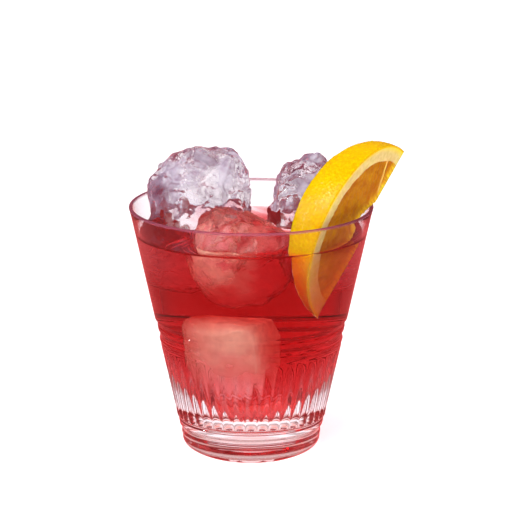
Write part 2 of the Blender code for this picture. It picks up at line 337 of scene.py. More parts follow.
# Painted red light of the drink at the ice's foot
FOOT_SHINE_TONE = (150, 48, 50)
RIND_TONES = ((233, 188, 0), (229, 178, 0))
FLECK_TONE = (240, 204, 2)
PITH_TONES = ((212, 194, 112), (232, 216, 146))
ZEST_TONE = (250, 218, 40)
FLESH_TONES = ((172, 102, 0), (196, 138, 0))
FRINGE_TONE = (255, 214, 40)
MEMBRANE_TONE = (240, 206, 110)
# Painted light under the drink's level
UNDER_DRINK_PAINTED_LIGHT_TONE = (255, 228, 80)

# Skin of the orange. A pair is (off the rind, on it).
ORANGE_ROUGHNESS = (0.35, 0.11)
ORANGE_GLOSS = (0.18, 0.34)
ORANGE_PORES = (800.0, 0.16 * MM, 2.0)
ORANGE_SCATTER = 0.6
ORANGE_SCATTER_COLOURS = (1.0, 0.5, 0.05)
ORANGE_SCATTER_REACH = 6 * MM

# Floor
FLOOR_RADIUS = 4.0
FLOOR_SIDES = 96
FLOOR_DROP = 0.1 * MM
FLOOR_TONES = ((0.95, 0.96, 0.96, 1), (0.97, 0.98, 0.98, 1))
FLOOR_GLOW = 0.37
FLOOR_ROUGHNESS = 0.7
FLOOR_SPECULAR = 0.2
# Painted light: the red that the drink would throw on the floor behind it, painted into the floor's colour
GLOW_CENTRE = (0.0, 40.0 * MM, 0.0)
GLOW_HALF_SIZE = (27.0 * MM, 62.0 * MM, 1.0)
GLOW_FALLOFF = (1.0, 0.25)
GLOW_TONE = (0.84, 0.34, 0.27, 1)
# Painted reflections: what a mirroring surface of the glass or the drink shows of the floor and of the air
MIRRORED_FLOOR = (0.52, 0.09, 0.09, 1)
MIRRORED_AIR = (0.64, 0.08, 0.09, 1)

# Air round the model. Its tones go by how steeply a ray rises, 0 to 1.
AIR_STRENGTH = 0.65
AIR_TONES = (
    (0.0, (0.54, 0.50, 0.57, 1)),
    (0.2, (0.45, 0.39, 0.47, 1)),
    (0.5, (0.40, 0.28, 0.36, 1)),
    (1.0, (0.36, 0.23, 0.30, 1)),
)
# What is seen through the glass and the drink
THROUGH_TONES = (
    (0.0, (1.20, 0.95, 0.95, 1)),
    (0.25, (1.20, 0.70, 0.64, 1)),
    (0.6, (0.85, 0.48, 0.46, 1)),
    (1.0, (0.50, 0.32, 0.36, 1)),
)
# The air is dimmer to the front than to the back.
FRONT_TO_BACK = (-0.7, 0.8)
FRONT_TO_BACK_TONES = ((0.0, (0.66, 0.44, 0.50, 1)), (1.0, (1.0, 1.0, 1.0, 1)))

# Each lamp is (name, place, what it faces, width, height, power, is mirrored, is seen through clear matter).
LAMPS = (
    ("overhead", (0.0, 0.5, 1.3), (0.0, 0.35, 0.0), 2.0, 2.1, 13.5, False, True),
    ("sparkle", (-0.70, -0.44, 0.95), (0.02, 0.0, 0.09), 0.14, 0.14, 4.0, True, True),
    ("rim", (0.0, -0.55, 1.1), (0.0, 0.0, 0.09), 1.2, 0.1, 2.5, True, True),
    ("side", (-1.0, -0.12, 0.45), (0.02, 0.0, 0.09), 0.09, 0.09, 0.9, True, False),
    ("key", (-0.25, -0.85, 0.85), (0.02, 0.0, 0.08), 0.4, 0.4, 4.8, False, False),
    ("fill", (0.95, -0.75, 0.28), (0.02, 0.0, 0.08), 0.45, 0.45, 3.6, False, False),
)

# Longest paths of the light, in bounces
CLEAR_BOUNCES = 24
SHADOW_BOUNCES = 32
MIRROR_BOUNCES = 8
MATT_BOUNCES = 4


def smoothstep(low, high, value):
    share = min(max((value - low) / (high - low), 0.0), 1.0)
    return share * share * (3 - 2 * share)


def mix(a, b, share):
    return a + (b - a) * share


def bridge(faces, upper, lower):
    """Quads between two rings of the same count, facing out where the upper ring is the higher one."""
    count = len(upper)
    for side in range(count):
        after = (side + 1) % count
        faces.append((upper[side], lower[side], lower[after], upper[after]))


def add_ring(points, ring):
    first = len(points)
    points.extend(ring)
    return list(range(first, len(points)))


def new_mesh(name, points, faces):
    mesh = bpy.data.meshes.new(name)
    mesh.from_pydata(points, [], faces)
    mesh.validate()
    mesh.shade_smooth()
    return mesh


def place(name, mesh, surface, slot, *nodes, inner=None, is_inner=None):
    """Puts a mesh in the scene as a piece that rides on the model and stands for these nodes.

    Faces for which is_inner is true get the inner surface.
    """
    piece = bpy.data.objects.new(name, mesh)
    bpy.context.scene.collection.objects.link(piece)
    mesh.materials.clear()
    mesh.materials.append(surface)
    if inner:
        mesh.materials.append(inner)
        mesh.polygons.foreach_set("material_index", [int(is_inner(face)) for face in mesh.polygons])
    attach(piece, BODY)
    if nodes:
        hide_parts(*nodes)
    return piece


# Glass

def cone_radius(height):
    return RIM_RADIUS - CONE_SLOPE * (GLASS_HEIGHT - height)


def inner_radius(height):
    """The hollow: a cone that closes in a round bowl inside the skirt."""
    share = (GLASS_HEIGHT - height) / (GLASS_HEIGHT - WAIST_HEIGHT)
    cone = cone_radius(height) - mix(RIM_WALL, WAIST_WALL, share)
    depth = max((BOWL_TOP - height) / (BOWL_TOP - BOWL_BOTTOM), 0.0)
    return cone * math.sqrt(max(1 - depth ** BOWL_POWER, 0.0))


def band_inset(bands, height):
    """How far a turned band lies inside the cone at this height, on a smooth curve through its points."""
    for (top, above), (bottom, below) in zip(bands, bands[1:]):
        if height >= bottom:
            return mix(below, above, smoothstep(bottom, top, height))
    return bands[-1][1]


def groove_at(height):
    """Depth and half width of each flute's groove at this height, the width counted in flutes."""
    drop = min((FLUTE_TOP - height) / FLUTE_POINT, 1.0)
    end = min((height - FLUTE_BOTTOM) / FLUTE_END, 1.0)
    rounding = math.sqrt(max(1 - (1 - end) ** 2, 0.0))
    return FLUTE_DEPTH * drop * rounding, (0.5 - FLUTE_LAND / 2) * drop ** FLUTE_SPREAD * math.sqrt(rounding)


def glass_ring(radius, height, depth=0.0, half_width=0.5 - FLUTE_LAND / 2):
    """A ring whose columns follow the flutes' grooves."""
    ring = []
    for flute in range(FLUTES):
        for across in GROOVE_COLUMNS + (None,):
            place_in_flute = 1.0 if across is None else 0.5 + half_width * across
            inset = 0.0 if across is None else depth * (1 - across * across)
            angle = 2 * math.pi * (flute + place_in_flute) / FLUTES
            reach = radius - inset
            ring.append((reach * math.cos(angle), reach * math.sin(angle), height))
    return ring


def span(start, end, steps, crowding=1.0):
    return [mix(start, end, (step / steps) ** crowding) for step in range(1, steps + 1)]


def hollow_profile(grow, wall_rows):
    """Radii and heights of the hollow from the rim down to the middle of its floor, grown by this much."""
    heights = [GLASS_HEIGHT - RIM_WALL / 2]
    heights += span(heights[0], BOWL_TOP, wall_rows)
    for row in range(1, BOWL_ROWS):
        share = math.sin(math.pi / 2 * row / BOWL_ROWS) ** (2 / BOWL_POWER)
        heights.append(mix(BOWL_TOP, BOWL_BOTTOM, share))
    profile = []
    for height in heights:
        step = min(SLOPE_STEP, (height - BOWL_BOTTOM) / 4)
        slope = Vector((inner_radius(height + step) - inner_radius(height - step), 2 * step)).normalized()
        profile.append((inner_radius(height) + slope.y * grow, height - slope.x * grow))
    return profile


def lip_rings():
    half = RIM_WALL / 2
    rings = []
    for step in range(LIP_ROWS + 1):
        angle = math.pi * step / LIP_ROWS
        radius = RIM_RADIUS - half - half * math.cos(angle)
        rings.append(glass_ring(radius, GLASS_HEIGHT - half + half * math.sin(angle)))
    return rings


def heel_rings():
    start = cone_radius(HEEL_HEIGHT) - BASE_BANDS[-1][1]
    rings = []
    for step in range(1, HEEL_ROWS + 1):
        height = HEEL_HEIGHT * (1 - step / HEEL_ROWS) ** HEEL_CROWDING
        reach = 1 - (1 - height / HEEL_HEIGHT) ** HEEL_ROUNDNESS
        rings.append(glass_ring(mix(FOOT_RADIUS, start, reach), height))
    return rings


def outer_glass_rings():
    """The glass's rings from the top of the lip down to the flat foot."""
    rings = lip_rings()
    for height in span(GLASS_HEIGHT - RIM_WALL / 2, WAIST_BANDS[0][0], CONE_ROWS):
        rings.append(glass_ring(cone_radius(height), height))
    for height in span(WAIST_BANDS[0][0], FLUTE_TOP, WAIST_ROWS):
        rings.append(glass_ring(cone_radius(height) - band_inset(WAIST_BANDS, height), height))
    flute_heights = span(FLUTE_TOP, FLUTE_BOTTOM + FLUTE_END, GROOVE_ROWS, GROOVE_CROWDING)
    flute_heights += span(FLUTE_BOTTOM + FLUTE_END, FLUTE_BOTTOM, GROOVE_END_ROWS, GROOVE_END_CROWDING)
    for height in flute_heights:
        rings.append(glass_ring(cone_radius(height), height, *groove_at(height)))
    for height in span(FLUTE_BOTTOM, HEEL_HEIGHT, BASE_ROWS):
        rings.append(glass_ring(cone_radius(height) - band_inset(BASE_BANDS, height), height))
    return rings + heel_rings()


def faces_hollow(face):
    """Whether a face of the glass looks into its hollow."""
    return face.center.z > FOOT_CLEARANCE and face.normal.xy.dot(face.center.xy) <= 0


def make_glass(surface, inner_surface):
    points = []
    faces = []
    outer = [add_ring(points, ring) for ring in outer_glass_rings()]
    hollow = hollow_profile(0.0, HOLLOW_WALL_ROWS)[1:]
    inner = [add_ring(points, glass_ring(radius, height)) for radius, height in hollow]
    for upper, lower in zip(outer, outer[1:]):
        bridge(faces, upper, lower)
    for upper, lower in zip([outer[0]] + inner, inner):
        bridge(faces, lower, upper)
    faces.append(tuple(inner[-1]))
    faces.append(tuple(outer[-1][::-1]))
    mesh = new_mesh("glass_fine", points, faces)
    mesh.set_sharp_from_angle(angle=GLASS_CREASE)
    place("tumbler", mesh, surface, "clear_glass", "glass", inner=inner_surface, is_inner=faces_hollow)


# Ice

def section_at(sections, share):
    """One cross-section of a block, read from its key sections by a smooth curve."""
    last = len(sections) - 1
    place_along = share * last
    index = min(int(place_along), last - 1)
    t = place_along - index
    before, start, end, after = (sections[min(max(index + k, 0), last)] for k in (-1, 0, 1, 2))
    values = []
    for p, q, r, s in zip(before, start, end, after):
        values.append(q + 0.5 * t * (r - p + t * (2 * p - 5 * q + 4 * r - s + t * (3 * (q - r) + s - p))))
    return [value * MM for value in values]


def squared(angle, half_x, half_y, squareness):
    """A point on a rounded rectangle of this half size."""
    x, y = math.cos(angle), math.sin(angle)
    reach = (abs(x) ** squareness + abs(y) ** squareness) ** (-1 / squareness)
    return x * reach * half_x, y * reach * half_y


def worn(point, centre, seed, strength):
    """Moves a point of a block in or out by coarse noise."""
    offset = Vector((seed, -seed, 2 * seed))
    crag = noise.noise(point / ICE_CRAG_SIZE + offset)
    crag += ICE_FINE_CRAG * noise.noise(point / ICE_FINE_CRAG_SIZE + offset)
    return point + (point - centre).normalized() * ICE_CRAG * crag * strength


def ice_levels():
    """Where a block's rings lie, from bottom to top: place along it, share of its width, rise of its end."""
    cap_angles = [math.pi / 2 * step / ICE_CAP_ROWS for step in range(1, ICE_CAP_ROWS)]
    levels = [(0.0, math.sin(angle), -ICE_BOTTOM_BULGE * math.cos(angle)) for angle in cap_angles]
    levels += [(row / (ICE_ROWS - 1), 1.0, 0.0) for row in range(ICE_ROWS)]
    levels += [(1.0, math.cos(angle), ICE_TOP_BULGE * math.sin(angle)) for angle in cap_angles]
    return levels


def ice_rings(sections, seed, squareness, strength):
    """Rings of a block from bottom to top, with rounded ends, and the block's centre."""
    low = Vector(sections[0][1:3] + (sections[0][0],)) * MM
    high = Vector(sections[-1][1:3] + (sections[-1][0],)) * MM
    centre = (low + high) / 2
    rings = []
    for share, shrink, rise in ice_levels():
        height, x, y, half_x, half_y = section_at(sections, share)
        ring = []
        for side in range(ICE_SIDES):
            dx, dy = squared(2 * math.pi * side / ICE_SIDES, half_x * shrink, half_y * shrink, squareness)
            ring.append(worn(Vector((x + dx, y + dy, height + rise)), centre, seed, strength))
        rings.append(ring)
    return rings, centre


def chip(points, centre, draw, count):
    """Cuts flat facets off a block, as its broken faces have."""
    for _ in range(count):
        normal = Vector((draw.gauss(0, 1), draw.gauss(0, 1), draw.gauss(0, 1))).normalized()
        farthest = max(normal.dot(point - centre) for point in points)
        limit = farthest - draw.uniform(*CHIP_DEPTHS) * MM
        for index, point in enumerate(points):
            excess = normal.dot(point - centre) - limit
            if excess > 0:
                points[index] = point - normal * excess * CHIP_FLATNESS


def ice_relief(point, offset):
    """Lumps, scallops, ripples and creases on a block's skin."""
    lump = noise.noise(point / ICE_LUMP_SIZE - offset)
    cell = noise.voronoi(point / ICE_SCALLOP_SIZE + offset)[0][0]
    scallop = cell ** 2 * ICE_SCALLOP_GAIN - ICE_SCALLOP_FLOOR
    bend = noise.noise_vector(point / ICE_CREASE_BEND_SIZE) * ICE_CREASE_BEND
    bent = point / ICE_CREASE_SIZE + bend
    crease = math.exp(-((noise.noise(bent + offset) / ICE_CREASE_WIDTH) ** 2))
    rough_here = smoothstep(*ICE_RIPPLE_LEVELS, noise.noise(point / ICE_LUMP_SIZE + 3 * offset))
    ripple = noise.noise(point / ICE_RIPPLE_SIZE + offset) * mix(ICE_RIPPLE_LEAST, 1.0, rough_here)
    return ICE_LUMP * lump + ICE_SCALLOP * scallop + ICE_RIPPLE * ripple - ICE_CREASE * crease


def roughen(mesh, seed, strength):
    """Gives a block its relief, less of it under the level."""
    offset = Vector((seed * 1.7, seed * 0.3, -seed))
    normals = [vertex.normal.copy() for vertex in mesh.vertices]
    for vertex, normal in zip(mesh.vertices, normals):
        out = ice_relief(vertex.co, offset)
        above = smoothstep(DRINK_LEVEL - SUNK_SMOOTH_BELOW, DRINK_LEVEL + SUNK_ROUGH_ABOVE, vertex.co.z)
        vertex.co = vertex.co + normal * out * strength * mix(1.0, SUNK_SMOOTHNESS, 1 - above)


def keep_off_glass(mesh):
    for vertex in mesh.vertices:
        if vertex.co.z < GLASS_HEIGHT + ICE_ABOVE_RIM:
            room = inner_radius(min(vertex.co.z, GLASS_HEIGHT)) - ICE_WALL_GAP
            room = max(room, ICE_LEAST_ROOM)
            across = math.hypot(vertex.co.x, vertex.co.y)
            if across > room:
                vertex.co.xy *= room / across


def ice_mesh(name, sections, seed, squareness=ICE_SQUARENESS, chips=ICE_CHIPS, strength=1.0):
    rings, centre = ice_rings(sections, seed, squareness, strength)
    points = [point for ring in rings for point in ring]
    chip(points, centre, random.Random(seed), chips)
    faces = []
    numbers = [list(range(row * ICE_SIDES, (row + 1) * ICE_SIDES)) for row in range(len(rings))]
    for lower, upper in zip(numbers, numbers[1:]):
        bridge(faces, upper, lower)
    for end in (numbers[0][::-1], numbers[-1]):
        tip = len(points)
        points.append(sum((points[index] for index in end), Vector()) / ICE_SIDES)
        for side in range(ICE_SIDES):
            faces.append((end[side], end[(side + 1) % ICE_SIDES], tip))
    mesh = new_mesh(name, points, faces)
    roughen(mesh, seed, strength)
    keep_off_glass(mesh)
    return mesh


def make_sunk_ice():
    """The slab that is wholly sunk, turned to lie along the front wall."""
    form = (SUNK_SQUARENESS, SUNK_CHIPS, SUNK_SMOOTHNESS)
    slab = ice_mesh("sunk_ice_low_fine", ICE_SUNK_LOW, SUNK_SEED, *form)
    slab.transform(Matrix.Rotation(SUNK_TURN, 4, "Z"))
    return slab


def under_level(face):
    return face.center.z < DRINK_LEVEL


# Orange wedge

def wedge_frame():
    axis = WEDGE_AXIS.normalized()
    outward = (WEDGE_OUTWARD - WEDGE_OUTWARD.dot(axis) * axis).normalized()
    turn = Matrix((outward, axis.cross(outward), axis)).transposed()
    return Matrix.Translation(WEDGE_CENTRE) @ turn.to_4x4()


def wedge_depth(radius, height):
    """How deep a place on a cut face lies under the rind's surface."""
    scale = math.hypot(radius / ORANGE_RADIUS, height / ORANGE_HALF_LENGTH)
    if scale == 0:
        return ORANGE_RADIUS
    slope = math.hypot(radius / ORANGE_RADIUS**2, height / ORANGE_HALF_LENGTH**2)
    return (1 - scale) * scale / slope


def rind_outward(radial, radius, height):
    """The way the rind faces here."""
    reach = radius * (ORANGE_HALF_LENGTH / ORANGE_RADIUS) ** 2
    return Vector((radial.x * reach, radial.y * reach, height)).normalized()


def pebble(point):
    """The rind's relief: rounded bumps with small pits between them, on soft waves."""
    cells = noise.voronoi(point / PEBBLE_SIZE)[0]
    bumps = min((cells[1] - cells[0]) * PEBBLE_SLOPE * MM, PEBBLE_HEIGHT)
    swell = noise.noise(point / RIND_WAVE_SIZE) * RIND_WAVE * MM
    return bumps + swell - PEBBLE_SINK


def pulp(radius, height, side):
    """The flesh's relief: long juice sacs that point to the core."""
    angle = math.atan2(height, radius + SAC_FAN)
    reach = math.hypot(height, radius + SAC_FAN)
    cell = Vector((angle * SAC_COUNT, reach / SAC_LENGTH, side * 7.0))
    near = noise.voronoi(cell)[0]
    edge = min((near[1] - near[0]) * SAC_EDGE, 1.0)
    return (edge - SAC_MIDDLE) * SAC_RELIEF * MM


def membrane_at(radius, height):
    """How near a place lies to the membrane that crosses the top of the face, 1 on it."""
    along = (MEMBRANE_END - MEMBRANE_START).normalized()
    off = Vector((radius, height)) - MEMBRANE_START
    distance = abs(off.x * along.y - off.y * along.x)
    reach = smoothstep(-MEMBRANE_FADE, MEMBRANE_FADE, off.dot(along))
    return math.exp(-((distance / MEMBRANE_WIDTH) ** 2)) * reach


def rag_at(height, side):
    """The torn edge's unevenness."""
    rag = noise.noise(Vector((height / CORE_RAG_SIZE, side * 3.0, 0.0)))
    return rag + CORE_FINE_RAG * noise.noise(Vector((height / CORE_FINE_RAG_SIZE, side * 5.0, 4.0)))


def core_depth(height):
    """How far the wedge's inner edge lies from the orange's axis."""
    torn = CORE_TRIM * (1 - smoothstep(*CORE_TORN_TO, height))
    return torn + CORE_BITE * math.exp(-(((height - CORE_BITE_AT) / CORE_BITE_REACH) ** 2))


def pith_edge(radius, height, side, tip):
    """How deep under the surface the pith ends: deeper at the wedge's two tips."""
    extra = PITH_TIP_EXTRA if height > 0 else PITH_FOOT_EXTRA
    uneven = noise.noise(Vector((height / PITH_WAVE_LENGTH, radius / PITH_WAVE_WIDTH, side * 2.0)))
    return PITH_DEPTH + extra * tip + PITH_WAVE * uneven


def fringe_at(radius, height, side, thin):
    """How much of a pale fibre from the torn core a place on a face shows."""
    near_core = smoothstep(*FRINGE_REACH, radius - core_depth(height) * thin)
    fibre = noise.noise(Vector((height / FRINGE_FIBRE_SIZE, radius / FRINGE_FIBRE_LENGTH, side * 5.0)))
    return max(near_core * (FRINGE_BASE + FRINGE_GAIN * fibre), 0.0)


def wedge_section(height, outer, thin):
    """Places round one cross-section, as (radius, side): the cut faces are sides -1 and 1."""
    cuts = {}
    for side in (-1, 1):
        core = max((core_depth(height) + CORE_RAG * rag_at(height, side)) * thin, CORE_LEAST)
        shares = [(step / FACE_COLUMNS) ** FACE_CROWDING for step in range(FACE_COLUMNS + 1)]
        cuts[side] = [(mix(core, outer, share), side) for share in shares]
    rind = [(outer, -1 + 2 * step / RIND_COLUMNS) for step in range(1, RIND_COLUMNS)]
    inner = cuts[1][0][0]
    core_strip = [(inner, 1 - 2 * step / CORE_COLUMNS) for step in range(1, CORE_COLUMNS)]
    return cuts[-1] + rind + cuts[1][::-1] + core_strip


def wedge_point(radius, side, height, thin, tip):
    """One point of the wedge with its relief, and what its layers carry there."""
    angle = WEDGE_ANGLE / 2 * side
    radial = Vector((math.cos(angle), math.sin(angle), 0))
    tangent = Vector((-math.sin(angle), math.cos(angle), 0))
    point = radial * radius + Vector((0, 0, height))
    depth = wedge_depth(radius, height)
    on_face = abs(side) == 1
    fade = min(thin * TIP_FADE, 1.0)
    edge = pith_edge(radius, height, side, tip)
    in_flesh = smoothstep(edge - PITH_BLEND, edge + PITH_BLEND, depth)
    membrane = 0.0
    if depth < PEBBLE_REACH:
        share = 1 - depth / PEBBLE_REACH
        point += rind_outward(radial, radius, height) * pebble(point) * share * fade
    if on_face and in_flesh > 0:
        membrane = membrane_at(radius, height) if side > 0 else 0.0
        relief = pulp(radius, height, side) - FLESH_SINK + membrane * MEMBRANE_RELIEF * MM
        point += tangent * side * relief * in_flesh * min(radius / FLESH_FADE, 1.0)
    if on_face and depth < RIND_EDGE_REACH:
        round_off = RIND_EDGE_ROUNDING * (1 - depth / RIND_EDGE_REACH) ** 2
        point -= tangent * side * round_off * fade
    rind = 1 - smoothstep(RIND_DEPTH * RIND_FADE[0], RIND_DEPTH * RIND_FADE[1], depth)
    zest = 1 - smoothstep(0.0, ZEST_DEPTH * (1 + ZEST_TIP_GAIN * tip * (height > 0)), depth)
    return point, (rind, in_flesh, membrane, zest, fringe_at(radius, height, side, thin))


def make_wedge(surface):
    points = [Vector((0, 0, ORANGE_HALF_LENGTH))]
    layers = [WEDGE_TIP_LAYERS]
    rings = []
    for row in range(1, WEDGE_ROWS):
        along = math.pi * row / WEDGE_ROWS
        height = ORANGE_HALF_LENGTH * math.cos(along)
        thin = math.sin(along)
        tip = abs(math.cos(along)) ** PITH_TIP_POWER
        section = wedge_section(height, ORANGE_RADIUS * thin, thin)
        made = [wedge_point(radius, side, height, thin, tip) for radius, side in section]
        rings.append(add_ring(points, [point for point, _ in made]))
        layers += [carried for _, carried in made]
    last = len(points)
    points.append(Vector((0, 0, -ORANGE_HALF_LENGTH)))
    layers.append(WEDGE_TIP_LAYERS)
    faces = []
    count = len(rings[0])
    for side in range(count):
        after = (side + 1) % count
        faces.append((0, rings[0][side], rings[0][after]))
        faces.append((last, rings[-1][after], rings[-1][side]))
    for upper, lower in zip(rings, rings[1:]):
        bridge(faces, upper, lower)
    mesh = new_mesh("wedge_fine", points, faces)
    for index, name in enumerate(WEDGE_LAYERS):
        layer = mesh.attributes.new(name, "FLOAT", "POINT")
        layer.data.foreach_set("value", [carried[index] for carried in layers])
    mesh.transform(wedge_frame())
    return place("wedge", mesh, surface, "orange", "orange_wedge")


# Drink

def nearness(tree, point):
    """Distance from a point to a piece's skin, 0 inside it."""
    place_on, normal, _, distance = tree.find_nearest(point)
    return 0.0 if (point - place_on).dot(normal) < 0 else distance


def drink_height(spot, radius, trees):
    """The drink's surface above a spot at its level, which rises at the glass, the ice and the orange."""
    wall = inner_radius(DRINK_LEVEL)
    rise = WALL_MENISCUS * math.exp(-max(wall - radius, 0.0) / WALL_MENISCUS_WIDTH)
    near = min(nearness(tree, spot) for tree in trees)
    rise = max(rise, PIECE_MENISCUS * math.exp(-near / PIECE_MENISCUS_WIDTH))
    rise += DRINK_SWELL * noise.noise(spot / DRINK_SWELL_SIZE)
    return spot.z + rise


def drink_mesh(trees):
    """The drink before its hollows are cut."""
    points = []
    faces = []
    directions = [2 * math.pi * side / DRINK_COLUMNS for side in range(DRINK_COLUMNS)]

    def ring(radius, height):
        return [Vector((radius * math.cos(a), radius * math.sin(a), height)) for a in directions]

    top = DRINK_LEVEL + WALL_MENISCUS
    edge = inner_radius(top) + REACH_INTO_GLASS
    rings = [add_ring(points, ring(edge, top))]
    for radius, height in hollow_profile(REACH_INTO_GLASS, DRINK_WALL_ROWS):
        if height < top - WALL_MENISCUS_EDGE:
            rings.append(add_ring(points, ring(radius, height)))
    for upper, lower in zip(rings, rings[1:]):
        bridge(faces, upper, lower)
    faces.append(tuple(rings[-1][::-1]))
    previous = rings[0]
    for step in range(1, DRINK_TOP_RINGS):
        share = 1 - step / DRINK_TOP_RINGS
        radius = edge * (1 - (1 - share) ** DRINK_TOP_CROWDING)
        spots = ring(radius, DRINK_LEVEL)
        current = add_ring(points, [(spot.x, spot.y, drink_height(spot, radius, trees)) for spot in spots])
        bridge(faces, current, previous)
        previous = current
    faces.append(tuple(previous))
    return new_mesh("drink_fine", points, faces)


def shrunken(mesh, distance):
    """A copy of a closed mesh moved inwards by this much."""
    copy = mesh.copy()
    normals = [vertex.normal.copy() for vertex in mesh.vertices]
    for vertex, normal in zip(copy.vertices, normals):
        vertex.co = vertex.co - normal * distance
    return copy


def triangulated(mesh):
    work = bmesh.new()
    work.from_mesh(mesh)
    bmesh.ops.triangulate(work, faces=work.faces[:])
    work.to_mesh(mesh)
    work.free()
    return mesh


def carve(body, hollows):
    """Cuts closed meshes out of another one and returns the cut mesh."""
    scratch = [bpy.data.objects.new("hollow", mesh) for mesh in hollows]
    main = bpy.data.objects.new("body", body)
    collection = bpy.context.scene.collection
    for obj in scratch + [main]:
        collection.objects.link(obj)
    for obj in scratch:
        cut = main.modifiers.new("cut", "BOOLEAN")
        cut.operation = "DIFFERENCE"
        cut.solver = "MANIFOLD"
        cut.object = obj
    bpy.context.view_layer.update()
    result = bpy.data.meshes.new_from_object(main.evaluated_get(bpy.context.evaluated_depsgraph_get()))
    for obj in scratch + [main]:
        bpy.data.objects.remove(obj, do_unlink=True)
    return result


def make_drink(surface, blocks, slab, orange):
    """The drink, cut round the blocks, the sunk slab and the orange, which reach just into it."""
    trees = []
    for mesh in blocks + [orange]:
        trees.append(BVHTree.FromPolygons([v.co for v in mesh.vertices], [p.vertices for p in mesh.polygons]))
    body = triangulated(drink_mesh(trees))
    hollows = [triangulated(shrunken(mesh, REACH_INTO_ICE)) for mesh in blocks + [slab, orange]]
    drink = carve(body, hollows)
    drink.shade_smooth()
    drink.set_sharp_from_angle(angle=DRINK_CREASE)
    place("liquid", drink, surface, "red_drink", "drink")


# Nodes of the materials

class Graph:
    """A short way to write the nodes of a material or of the world."""

    def __init__(self, owner):
        self.owner = owner
        owner.use_nodes = True
        self.tree = owner.node_tree
        self.tree.nodes.clear()

    def node(self, kind, **values):
        made = self.tree.nodes.new(kind)
        for key, value in values.items():
            setattr(made, key, value)
        return made

    def feed(self, socket, value):
        if isinstance(value, bpy.types.NodeSocket):
            self.tree.links.new(value, socket)
        else:
            socket.default_value = value

    def finish(self, surface, volume=None):
        output = self.node("ShaderNodeOutputMaterial")
        self.feed(output.inputs["Surface"], surface)
        if volume:
            self.feed(output.inputs["Volume"], volume)
        return self.owner


def material_graph(name):
    return Graph(bpy.data.materials.new(name))


def colour(red, green, blue):
    """A colour given as it looks on a screen, 0 to 255, as the shader's linear one."""
    values = []
    for part in (red, green, blue):
        share = part / 255
        values.append(share / 12.92 if share <= 0.04045 else ((share + 0.055) / 1.055) ** 2.4)
    return (*values, 1.0)


def object_place(graph):
    return graph.node("ShaderNodeTexCoord").outputs["Object"]


def part_of(graph, vector, axis):
    split = graph.node("ShaderNodeSeparateXYZ")
    graph.feed(split.inputs[0], vector)
    return split.outputs[axis]


def ranged(graph, value, low, high, to_low=0.0, to_high=1.0):
    """Stretches a value so that it runs between two others, and holds it there."""
    spread = graph.node("ShaderNodeMapRange")
    graph.feed(spread.inputs["Value"], value)
    spread.inputs["From Min"].default_value = low
    spread.inputs["From Max"].default_value = high
    spread.inputs["To Min"].default_value = to_low
    spread.inputs["To Max"].default_value = to_high
    return spread.outputs["Result"]


def noise_texture(graph, vector, scale, detail):
    pattern = graph.node("ShaderNodeTexNoise")
    graph.feed(pattern.inputs["Vector"], vector)
    pattern.inputs["Scale"].default_value = scale
    pattern.inputs["Detail"].default_value = detail
    return pattern.outputs["Fac"]


def patches_of(graph, vector, scale, low, high, detail):
    """Noise stretched so that it runs from 0 to 1 between two of its levels."""
    return ranged(graph, noise_texture(graph, vector, scale, detail), low, high)


def bumps(graph, scale, distance, detail):
    """Soft waves or pores on a surface, as a normal."""
    bump = graph.node("ShaderNodeBump")
    bump.inputs["Distance"].default_value = distance
    graph.feed(bump.inputs["Height"], noise_texture(graph, object_place(graph), scale, detail))
    return bump.outputs["Normal"]


def mixed(graph, share, low, high, blend_type="MIX"):
    """Mixes two colours by a number between 0 and 1."""
    blend = graph.node("ShaderNodeMix", data_type="RGBA", blend_type=blend_type)
    graph.feed(blend.inputs[0], share)
    graph.feed(blend.inputs[6], low)
    graph.feed(blend.inputs[7], high)
    return blend.outputs[2]


def patchy(graph, place_in, patches, tones):
    """Two tones mixed in patches."""
    first, second = (colour(*tone) for tone in tones)
    return mixed(graph, patches_of(graph, place_in, *patches), first, second)


def worked_out(graph, operation, *values, clamped=False):
    """A sum or product of numbers."""
    made = graph.node("ShaderNodeMath", operation=operation, use_clamp=clamped)
    for index, value in enumerate(values):
        graph.feed(made.inputs[index], value)
    return made.outputs["Value"]


def blended(graph, share, first, second):
    """Mixes two shaders by a number between 0 and 1."""
    blend = graph.node("ShaderNodeMixShader")
    graph.feed(blend.inputs[0], share)
    graph.feed(blend.inputs[1], first)
    graph.feed(blend.inputs[2], second)
    return blend.outputs[0]


def clear_to_lamps(graph, shader):
    """Lets the lamps' light through, which clear matter would otherwise hold back as shadow."""
    is_shadow = graph.node("ShaderNodeLightPath").outputs["Is Shadow Ray"]
    blank = graph.node("ShaderNodeBsdfTransparent")
    return blended(graph, is_shadow, shader, blank.outputs[0])


def clear_shader(graph, ior, mirroring, tint=NO_TINT, normal=None):
    """Clear matter. Mirroring is how much of the surroundings its surface shows, 0 to 1."""
    shader = graph.node("ShaderNodeBsdfPrincipled")
    shader.inputs["Base Color"].default_value = tint
    shader.inputs["Transmission Weight"].default_value = 1.0
    shader.inputs["IOR"].default_value = ior
    shader.inputs["Roughness"].default_value = 0.0
    shader.inputs["Specular Tint"].default_value = (mirroring, mirroring, mirroring, 1)
    if normal:
        graph.feed(shader.inputs["Normal"], normal)
    return shader.outputs[0]


def cloudy(graph, tone):
    """Scatters the light to both sides of a surface."""
    scatter = graph.node("ShaderNodeBsdfDiffuse")
    graph.feed(scatter.inputs["Color"], tone)
    glow = graph.node("ShaderNodeBsdfTranslucent")
    graph.feed(glow.inputs["Color"], tone)
    return blended(graph, 0.5, scatter.outputs[0], glow.outputs[0])


# Materials

